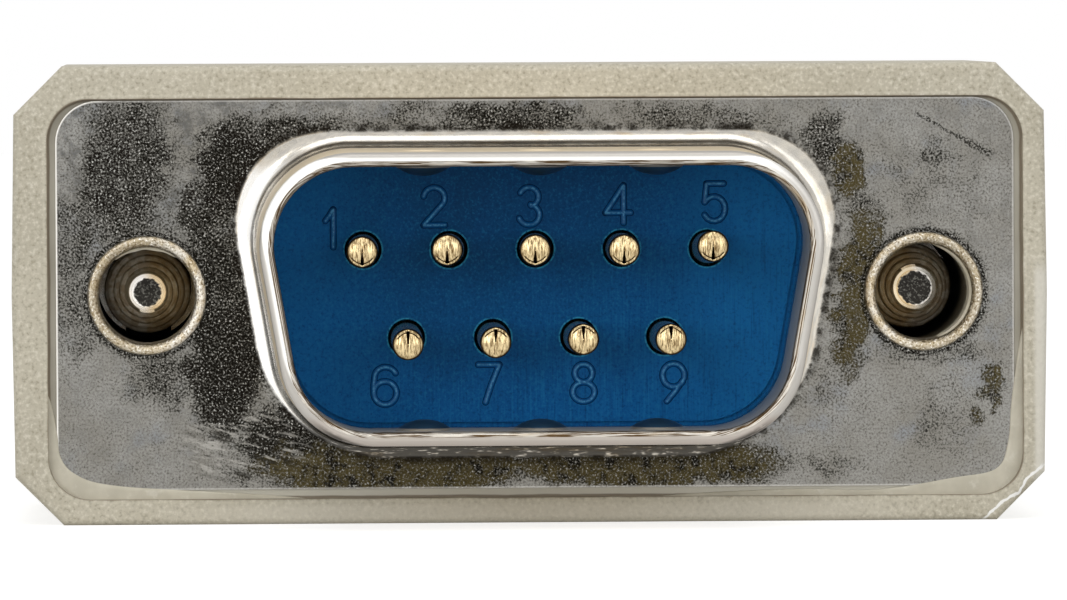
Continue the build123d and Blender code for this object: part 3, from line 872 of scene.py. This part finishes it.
# %% [markdown]
# ## Raised numbers
#
# Each contact has its position number beside it, raised from the blue face. A number is a few
# strokes, written as lines and arcs in shares of its own width and height, and Geometry Nodes
# runs a round bead along them, sunk so far that only its top stands proud of the face. At a
# sharp corner one stroke ends and the next begins, so that the bead keeps its width. A small
# ball closes every stroke's ends. Their crests are painted paler as a highlight, in patches,
# and their steep flanks darker as shade.

# %% Strokes of the numbers
def arc(x, z, across, up, start, end, steps=14):
    """Points on an oval round (x, z), from the start angle to the end angle in degrees."""
    angles = [radians(start + (end - start) * i / steps) for i in range(steps + 1)]
    return [(x + across * cos(a), z + up * sin(a)) for a in angles]


strokes = {
    1: [[(0.0, 0.70), (0.45, 0.84), (0.85, 1.0)], [(0.85, 1.0), (0.85, 0.0)]],
    2: [arc(0.5, 0.72, 0.5, 0.28, 170, -30) + [(0.0, 0.0)], [(0.0, 0.0), (1.0, 0.0)]],
    3: [arc(0.48, 0.75, 0.47, 0.25, 155, -75), arc(0.48, 0.27, 0.52, 0.27, 82, -160)],
    4: [[(0.72, 0.0), (0.72, 1.0)], [(0.72, 1.0), (0.0, 0.27)], [(0.0, 0.27), (1.0, 0.27)]],
    5: [[(0.92, 1.0), (0.14, 1.0)], [(0.14, 1.0), (0.06, 0.52)], arc(0.48, 0.33, 0.50, 0.33, 148, -150)],
    6: [arc(0.52, 0.72, 0.48, 0.28, 25, 165) + [(0.0, 0.52)] + arc(0.5, 0.31, 0.5, 0.31, 178, 538, 26)],
    7: [[(0.0, 1.0), (1.0, 1.0)], [(1.0, 1.0), (0.62, 0.48), (0.34, 0.0)]],
    8: [arc(0.5, 0.76, 0.40, 0.24, -90, 270, 24), arc(0.5, 0.26, 0.50, 0.26, 90, 450, 26)],
    9: [arc(0.5, 0.69, 0.5, 0.31, -15, 345, 26) + [(0.92, 0.55), (0.60, 0.28), (0.20, 0.0)]],
}
# Middle of each number measured from its contact's axis, and its width, in millimetres
number_places = {
    1: (-1.06, 0.70, 0.52), 2: (-0.48, 1.39, 0.91), 3: (-0.18, 1.38, 0.88), 4: (-0.10, 1.43, 1.04),
    5: (0.24, 1.47, 0.94), 6: (-0.70, -1.54, 0.97), 7: (-0.13, -1.48, 0.91), 8: (0.15, -1.48, 0.94),
    9: (0.28, -1.48, 0.94),
}
number_height = 1.44
bead_radius = 0.115
bead_proud = 0.080
contact_axes = {}
for i in range(1, 6):
    contact_axes[i] = ((i - 3) * pin_pitch, row_gap / 2)
for i in range(6, 10):
    contact_axes[i] = ((i - 7.5) * pin_pitch, -row_gap / 2)


def stroke_mesh():
    """Edges only: every stroke of every number, on the face's plane."""
    points, edges = [], []
    bead_y = face_y + bead_radius - bead_proud
    for digit, (dx, dz, width) in number_places.items():
        x0 = contact_axes[digit][0] + dx - width / 2 + bead_radius
        z0 = contact_axes[digit][1] + dz - number_height / 2 + bead_radius
        inner_width, inner_height = width - 2 * bead_radius, number_height - 2 * bead_radius
        for stroke in strokes[digit]:
            for i, (u, v) in enumerate(stroke):
                if i:
                    edges.append((len(points) - 1, len(points)))
                points.append(((x0 + u * inner_width) * mm, bead_y * mm, (z0 + v * inner_height) * mm))
    mesh = bpy.data.meshes.new("number_strokes")
    mesh.from_pydata(points, edges, [])
    return mesh


print(sum(len(s) for group in strokes.values() for s in group), "stroke points")

# %% [markdown]
# The node tree has named inputs, so the same tree can bead any line work: the bead's radius,
# how many sides it has, and its material.

# %% Bead tree
class GeometryTree(Wiring):
    """A geometry tree with named inputs. It keeps their identifiers, by which a modifier sets them."""

    def __init__(self, name, inputs, output):
        super().__init__(bpy.data.node_groups.new(name, "GeometryNodeTree"))
        sockets = self.tree.interface
        self.ids = {}
        for label, (kind, value) in inputs.items():
            item = sockets.new_socket(name=label, in_out="INPUT", socket_type="NodeSocket" + kind)
            if value is not None:
                item.default_value = value
            self.ids[label] = item.identifier
        sockets.new_socket(name=output, in_out="OUTPUT", socket_type="NodeSocketGeometry")
        self.given = self.add("NodeGroupInput").outputs
        self.result = self.add("NodeGroupOutput").inputs[0]

    def made(self, kind, **inputs):
        """Adds a geometry node, feeds its inputs by name and returns its first output."""
        node = self.add("GeometryNode" + kind)
        for key, value in inputs.items():
            self.feed(node.inputs[key.replace("_", " ")], value)
        return node.outputs[0]

    def close(self, geometry):
        """Ends the tree with real geometry in the finish that was given."""
        real = self.made("RealizeInstances", Geometry=geometry)
        self.feed(self.result, self.made("SetMaterial", Geometry=real, Material=self.given["Finish"]))


def bead_tree():
    g = GeometryTree("bead_along_lines", {
        "Lines": ("Geometry", None), "Bead radius": ("Float", bead_radius * mm),
        "Sides": ("Int", 12), "Finish": ("Material", None)}, "Beads")
    radius, sides = g.given["Bead radius"], g.given["Sides"]
    curve = g.made("MeshToCurve", Mesh=g.given["Lines"])
    section = g.made("CurvePrimitiveCircle", Resolution=sides, Radius=radius)
    swept = g.made("CurveToMesh", Curve=curve, Profile_Curve=section)
    ball = g.made("MeshUVSphere", Segments=sides, Rings=8, Radius=radius)
    ends = g.made("CurveEndpointSelection")
    balls = g.made("InstanceOnPoints", Points=curve, Selection=ends, Instance=ball)
    together = g.add("GeometryNodeJoinGeometry")
    for piece in (swept, balls):
        g.feed(together.inputs[0], piece)
    g.close(g.made("SetShadeSmooth", Geometry=together.outputs[0]))
    return g


def grown(name, source, g, settings):
    """Runs a node tree on a mesh and keeps what it makes as a plain mesh object."""
    seed = link_to_scene(bpy.data.objects.new(name + "_seed", source))
    modifier = seed.modifiers.new("grow", "NODES")
    modifier.node_group = g.tree
    for label, value in settings.items():
        modifier[g.ids[label]] = value
    ready = seed.evaluated_get(bpy.context.evaluated_depsgraph_get())
    mesh = bpy.data.meshes.new_from_object(ready)
    mesh.name = name
    seed.modifiers.clear()
    bpy.data.objects.remove(seed)
    return link_to_scene(bpy.data.objects.new(name, mesh))


# %% Beads on the face
def worn_blue():
    r = Recipe("worn_blue")
    patch_noise = r.noise(0.12, 3.0, 0.7)
    facing = r.size(r.normal_y)
    # Painted highlight on the crests, in patches, and painted shade on the steep flanks
    crest = r.times(r.step(facing, 0.93, 0.985), r.blend(r.step(patch_noise, 0.40, 0.65), 0.20, 1.0))
    colour = r.mix(crest, paint(14, 84, 148), paint(70, 156, 212))
    colour = r.over(colour, (4, 26, 54), r.step(facing, 0.72, 0.50))
    return r.finish(colour, 0.25, r.bump(patch_noise, 0.01, 0.5), specular=0.15)


numbers = grown("raised_numbers", stroke_mesh(), bead_tree(), {"Sides": 14, "Finish": worn_blue()})
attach(numbers, "plug")
print("raised numbers:", len(numbers.data.polygons), "faces")

# %% [markdown]
# ## Pins
#
# A pin is rolled from sheet. Its nose is pressed shut, so it has two cheeks with a shallow
# valley between them, a short slit where the cheeks don't meet, and a lip of sheet under the
# slit. The upper row has slit and lip at the bottom, the lower row is turned over.
#
# The nose is a polar grid of rings and spokes. The rings follow a blunt dome, and three small
# sinks are pressed into it. The shaft leans a little, as the real pins do: each pin's lean is its
# tip's distance from the axis.

# %% Nose of a pin
pin_radius = 0.50
pin_tip_y = -5.10
dome_radius = 0.80
rim_round = 0.06
shaft_end_y = 0.75
valley_depth = 0.055
valley_width = 0.045
slit_half_width = 0.030
slit_depth = 0.30
lip_depth = 0.05
spokes = 132
nose_rings = 34
pin_leans = {
    1: (-0.129, 0.065), 2: (-0.212, 0.114), 3: (-0.198, 0.098), 4: (-0.151, 0.083), 5: (-0.102, 0.194),
    6: (-0.074, -0.031), 7: (-0.070, 0.019), 8: (-0.064, 0.107), 9: (-0.060, 0.091),
}


def soft(value, low, high):
    """Smooth step from 0 at low to 1 at high."""
    share = np.clip((value - low) / (high - low), 0, 1)
    return share * share * (3 - 2 * share)


def nose_sink(x, down):
    """How deep the nose is pressed in at a place. down runs towards the slit's side."""
    radius = np.hypot(x, down)
    valley = valley_depth * np.exp(-np.abs(x) / valley_width) * (1 - soft(radius, 0.38, 0.5))
    valley *= 0.45 + 0.55 * soft(down, -0.30, 0.05)
    slit_place = soft(down, 0.02, 0.16) * (1 - soft(down, 0.385, 0.405))
    half_width = slit_half_width * (0.35 + 0.65 * soft(down, 0.05, 0.30))
    slit = slit_depth * (1 - soft(np.abs(x), half_width * 0.6, half_width * 1.5)) * slit_place
    under = soft(down, 0.16, 0.30)
    lip = lip_depth * soft(radius, 0.36, 0.385) * (1 - 0.7 * soft(radius, 0.40, 0.43)) * under
    return valley + slit + lip


def pin_points(turned, lean):
    """Rings of a closed pin from the tip's middle to the shaft's end, in millimetres."""
    angle = np.arange(spokes) * 2 * pi / spokes
    side = 1.0 if turned else -1.0
    rings = []
    for i in range(1, nose_rings + 1):
        # Rings lie closer together towards the rim, where the dome turns into the shaft
        share = sin(i / nose_rings * pi / 2)
        radius = pin_radius * share
        x, z = radius * np.cos(angle), radius * np.sin(angle)
        dome = dome_radius - (dome_radius ** 2 - radius ** 2) ** 0.5
        over_rim = max(0.0, radius - (pin_radius - rim_round)) / rim_round
        dome += rim_round * (1 - (max(0.0, 1 - over_rim ** 2)) ** 0.5)
        rings.append(np.stack([x, pin_tip_y + dome + nose_sink(x, side * z), z], axis=1))
    for y in (-4.2, -3.6, -2.8, -1.9, -1.0, -0.2, 0.3, shaft_end_y):
        x, z = pin_radius * np.cos(angle), pin_radius * np.sin(angle)
        rings.append(np.stack([x, np.full(spokes, y), z], axis=1))
    points = np.concatenate([[[0.0, pin_tip_y + valley_depth, 0.0]]] + rings + [[[0.0, shaft_end_y, 0.0]]])
    reach = (shaft_end_y - points[:, 1]) / (shaft_end_y - pin_tip_y)
    points[:, 0] += lean[0] * reach
    points[:, 2] += lean[1] * reach
    return points, len(rings)


def ring_faces(rings, spokes):
    """Faces of a closed skin: a fan at the first point, quads between rings, a fan at the last."""
    faces = []
    for i in range(spokes):
        j = (i + 1) % spokes
        faces.append((0, 1 + i, 1 + j))
        for ring in range(rings - 1):
            a, b = 1 + ring * spokes, 1 + (ring + 1) * spokes
            faces.append((a + i, b + i, b + j, a + j))
        last = 1 + (rings - 1) * spokes
        faces.append((last + i, 1 + rings * spokes, last + j))
    return faces


print(f"a pin has {spokes * (2 * nose_rings + 14)} triangles in front")

# %% [markdown]
# Only the front of a contact is new. Its rear half, with collar and solder cup, is the solid's own
# mesh, cut off at the same depth and closed.

# %% Front meshes joined to the solids' rear halves
same_place = 0.0001 * mm


def rear_half(mesh_out, node_name, cut_y):
    """Adds the part of a CAD node that lies behind cut_y to a bmesh."""
    part = bmesh.new()
    part.from_mesh(nodes[node_name].data)
    bmesh.ops.remove_doubles(part, verts=part.verts, dist=same_place)
    everything = part.verts[:] + part.edges[:] + part.faces[:]
    cut = bmesh.ops.bisect_plane(part, geom=everything, dist=same_place, plane_co=(0, cut_y * mm, 0),
                                 plane_no=(0, -1, 0), clear_outer=True)
    rim = [edge for edge in cut["geom_cut"] if isinstance(edge, bmesh.types.BMEdge)]
    bmesh.ops.holes_fill(part, edges=rim)
    spare = bpy.data.meshes.new("rear_half")
    part.to_mesh(spare)
    part.free()
    mesh_out.from_mesh(spare)
    bpy.data.meshes.remove(spare)


def finished_piece(name, shape, material, smooth_angle):
    bmesh.ops.recalc_face_normals(shape, faces=shape.faces)
    mesh = bpy.data.meshes.new(name)
    shape.to_mesh(mesh)
    shape.free()
    mesh.materials.append(material)
    mesh.shade_smooth()
    mesh.set_sharp_from_angle(angle=radians(smooth_angle))
    return link_to_scene(bpy.data.objects.new(name, mesh))


def make_pin(number):
    x0, z0 = contact_axes[number]
    points, rings = pin_points(number > 5, pin_leans[number])
    shape = bmesh.new()
    verts = [shape.verts.new(((x + x0) * mm, y * mm, (z + z0) * mm)) for x, y, z in points]
    for face in ring_faces(rings, spokes):
        shape.faces.new([verts[i] for i in face])
    rear_half(shape, f"contact_{number}", shaft_end_y)
    pin = finished_piece(f"pin_{number}", shape, gold, 50)
    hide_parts(f"contact_{number}")
    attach(pin, "plug")


for number in contact_axes:
    make_pin(number)
print(len(contact_axes), "pins")

# %% [markdown]
# ## Threads
#
# The screws carry a 4-40 thread, 0.635 mm from turn to turn. Geometry Nodes bends a grid round
# the screw's axis: the grid's length runs along the screw and its width once round it. The
# radius follows the point and its taper, and turns are cut into it. Each of the grid's rows moves
# by one pitch while it goes once round, which is what makes a helix. So every row keeps its place
# in the turn's outline, and the crests stay clean.

# %% Thread tree
thread_pitch = 0.635
thread_radius = 1.42
thread_depth = 0.28
point_radius = 0.42
point_ring = 0.26
ring_end_y = point_y + 0.030
taper_end_y = point_y + 2.5
full_depth_y = point_y + 0.8
run_out_y = 10.3
thread_end_y = 10.8
# Shares of one turn: the crest is reached, the fall behind it starts and ends
crest_share, fall_start, fall_end = 0.10, 0.62, 0.98
across_steps = 72
cone_rows = 4
rows_per_turn = 40
turn_count = ceil((thread_end_y - ring_end_y) / thread_pitch) + 1
along_steps = cone_rows + rows_per_turn * turn_count + 1


def thread_tree():
    g = GeometryTree("thread_round_axis", {
        "Pitch": ("Float", thread_pitch), "Depth": ("Float", thread_depth),
        "Start": ("Float", 0.0), "Axis x": ("Float", 0.0),
        "Point radius": ("Float", point_radius), "Finish": ("Material", None)}, "Thread")
    pitch, point = g.given["Pitch"], g.given["Point radius"]
    grid = g.made("MeshGrid", Size_X=1.0, Size_Y=1.0, Vertices_X=across_steps + 1,
                  Vertices_Y=along_steps + 1)
    across, along, _ = g.split(g.made("InputPosition"))
    around = g.plus(across, 0.5)
    row = g.times(g.plus(along, 0.5), along_steps)
    # The first rows make the cone round the point. The others follow the turns, so each of them
    # starts one pitch further back than it ends, and rests on the cone's edge until its time comes
    cone_y = g.ramp(row, 1.0, cone_rows, point_y, ring_end_y)
    turns = g.math("DIVIDE", g.minus(row, cone_rows), rows_per_turn)
    behind_cone = g.most(g.times(g.minus(turns, around), pitch), 0.0)
    y = g.plus(cone_y, g.math("MINIMUM", behind_cone, thread_end_y - ring_end_y))
    ring_radius = g.plus(point, point_ring)
    ring = g.ramp(y, point_y, ring_end_y, point, ring_radius)
    # A turn rises at once in front, to a small round at its crest, and falls off behind it
    start = g.plus(g.given["Start"], 0.5 / rows_per_turn)
    turn = g.math("FRACT", g.plus(turns, start))
    rise = g.math("POWER", g.ramp(turn, 0.0, crest_share, 1.0, 0.0), 4.0)
    rise = g.math("POWER", g.minus(1.0, rise), 0.25)
    bead = g.math("MINIMUM", rise, g.ramp(turn, fall_start, fall_end, 1.0, 0.0))
    # Along one turn the crest keeps the radius with which the turn began
    turn_start_y = g.minus(y, g.times(turn, pitch))
    taper = g.ramp(turn_start_y, ring_end_y, taper_end_y, 0.0, g.minus(thread_radius, ring_radius))
    deepening = g.ramp(y, ring_end_y, full_depth_y)
    share = g.times(deepening, g.ramp(y, run_out_y, thread_end_y, 1.0, 0.0))
    cut = g.times(g.minus(1.0, bead), g.given["Depth"], share)
    # The first and the last row shrink to a point and so close the skin
    between = g.times(g.math("GREATER_THAN", row, 0.5), g.math("LESS_THAN", row, along_steps - 0.5))
    radius = g.times(g.minus(g.plus(ring, taper), cut), between)
    angle = g.times(around, 2 * pi)
    x = g.plus(g.times(radius, g.math("COSINE", angle)), g.given["Axis x"])
    place = g.scaled(g.join(x, y, g.times(radius, g.math("SINE", angle))), mm)
    bent = g.made("SetPosition", Geometry=grid, Position=place)
    g.close(g.made("MergeByDistance", Geometry=bent, Distance=same_place))
    return g


# %% Threaded screws
threads = thread_tree()


def make_screw(side, start, point):
    axis_x = -screw_x if side == "left" else screw_x
    settings = {"Start": start, "Axis x": axis_x, "Point radius": point, "Finish": steel}
    threaded = grown(f"{side}_thread", bpy.data.meshes.new("nothing"), threads, settings)
    shape = bmesh.new()
    shape.from_mesh(threaded.data)
    bpy.data.objects.remove(threaded)
    rear_half(shape, f"{side}_screw", thread_end_y)
    screw = finished_piece(f"{side}_threaded_screw", shape, steel, 40)
    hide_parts(f"{side}_screw")
    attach(screw, f"{side}_thumbscrew")
    print(side, "screw:", len(screw.data.polygons), "faces")


make_screw("left", 0.15, point_radius)
make_screw("right", 0.60, point_radius + right_point_extra)

# %% [markdown]
# ## Skins of plastic
#
# When the hood was moulded round the shell, a little plastic crept over the flange's lower
# corners and into the eyelets. A skin is a ribbon between two lines of points: one along the
# pocket's wall and one where the plastic stopped. It is thickest at the wall.

# %% Skins over the flange
skin_front_y = -0.055
skin_edge_y = -0.022
skin_back_y = 0.03


def smooth_line(points, per_span=8):
    """Points of a soft curve through the given ones."""
    points = [np.array(p, dtype=float) for p in points]
    padded = [2 * points[0] - points[1]] + points + [2 * points[-1] - points[-2]]
    line = []
    for a, b, c, d in zip(padded, padded[1:], padded[2:], padded[3:]):
        bend = 2 * a - 5 * b + 4 * c - d
        twist = 3 * b - a - 3 * c + d
        for i in range(per_span):
            t = i / per_span
            line.append(0.5 * (2 * b + (c - a) * t + bend * t ** 2 + twist * t ** 3))
    return line + [points[-1]]


def closed_ribbon(shape, sections):
    """Skin round a row of equal sections, with both ends closed."""
    rows = [[shape.verts.new([c * mm for c in point]) for point in section] for section in sections]
    count = len(rows[0])
    for row, following in zip(rows, rows[1:]):
        for i in range(count):
            j = (i + 1) % count
            shape.faces.new((row[i], row[j], following[j], following[i]))
    shape.faces.new(rows[0][::-1])
    shape.faces.new(rows[-1])


def make_skin(name, sections, smooth_angle):
    shape = bmesh.new()
    closed_ribbon(shape, sections)
    skin = finished_piece(name, shape, skin_finish, smooth_angle)
    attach(skin, "plug")


def flange_skin(name, wall_line, stop_line):
    sections = []
    pairs = list(zip(smooth_line(wall_line), smooth_line(stop_line)))
    for i, (wall, stop) in enumerate(pairs):
        # Both ends run out into the wall
        end_share = min(1.0, 5 * min(i, len(pairs) - 1 - i) / (len(pairs) - 1) + 0.02)
        stop = wall + (stop - wall) * sin(end_share * pi / 2) ** 0.8
        middle = wall + (stop - wall) * 0.72
        near_stop = wall + (stop - wall) * 0.95
        outline = ((wall, skin_back_y), (wall, skin_front_y), (middle, skin_front_y * 0.9),
                   (near_stop, skin_edge_y * 1.3), (stop, skin_edge_y * 0.5), (stop, skin_back_y))
        sections.append([(place[0], y, place[1]) for place, y in outline])
    make_skin(name, sections, 60)


def smooth_pvc():
    r = Recipe("smooth_pvc")
    streak = r.noise(0.5, 3.0, 0.7, shift=4.0)
    colour = r.tones(r.noise(1.1, 3.0, 0.6), 0.35, 0.65, (206, 200, 182), (192, 186, 168))
    colour = r.over(colour, (222, 218, 205), r.step(streak, 0.55, 0.7), 0.5)
    return r.finish(colour, 0.38, r.bump(streak, 0.02, 0.6))


skin_finish = smooth_pvc()
wall_x, wall_z = pocket_width / 2 + 0.02, -pocket_drop - pocket_height / 2 - 0.02
flange_skin(
    "lower_right_skin",
    [(4.0, wall_z), (8.0, wall_z), (11.0, wall_z), (14.3, wall_z),
     (15.3, -6.2), (wall_x, -5.2), (wall_x, -3.4), (wall_x, -1.2)],
    [(4.0, -6.30), (8.4, -6.33), (11.0, -6.38), (13.4, -6.02),
     (14.8, -5.74), (15.2, -4.9), (15.3, -3.5), (15.38, -1.2)],
)
flange_skin(
    "lower_left_skin",
    [(-wall_x, -3.2), (-wall_x, -4.4), (-wall_x, -5.3), (-15.2, -6.28),
     (-14.2, wall_z), (-11.6, wall_z), (-7.4, wall_z)],
    [(-15.42, -3.2), (-15.38, -4.5), (-15.28, -5.2), (-14.86, -5.7),
     (-13.9, -6.05), (-11.6, -6.24), (-7.4, -6.30)],
)
print("two skins over the flange")

# %% [markdown]
# The skins inside the eyelets hug the bore, so that the threads still pass them.

# %% Skins in the eyelets
eyelet_bore = 1.55
thickest, thinnest = 0.095, 0.004


def bore_skin(name, side, start, end, depth, waves):
    """A crescent on the wall of an eyelet from one angle to another, 90 degrees being up."""
    steps = 40
    sections = []
    for i in range(steps + 1):
        share = i / steps
        angle = radians(start + (end - start) * share)
        waviness = 1 - 0.25 * sin(waves * pi * share) ** 2
        thick = thickest * (sin(pi * share) ** 0.4) * waviness + thinnest
        inner, outer = eyelet_bore - thick, eyelet_bore + 0.02
        sections.append([(side * screw_x + radius * cos(angle), y, radius * sin(angle))
                         for radius, y in ((outer, 0.0), (inner, 0.06), (inner, depth), (outer, depth))])
    make_skin(name, sections, 50)


bore_skin("left_bore_skin", -1, 52, 132, 0.5, 3)
bore_skin("right_bore_skin", 1, -72, 78, 1.0, 1)
print("two skins in the eyelets")
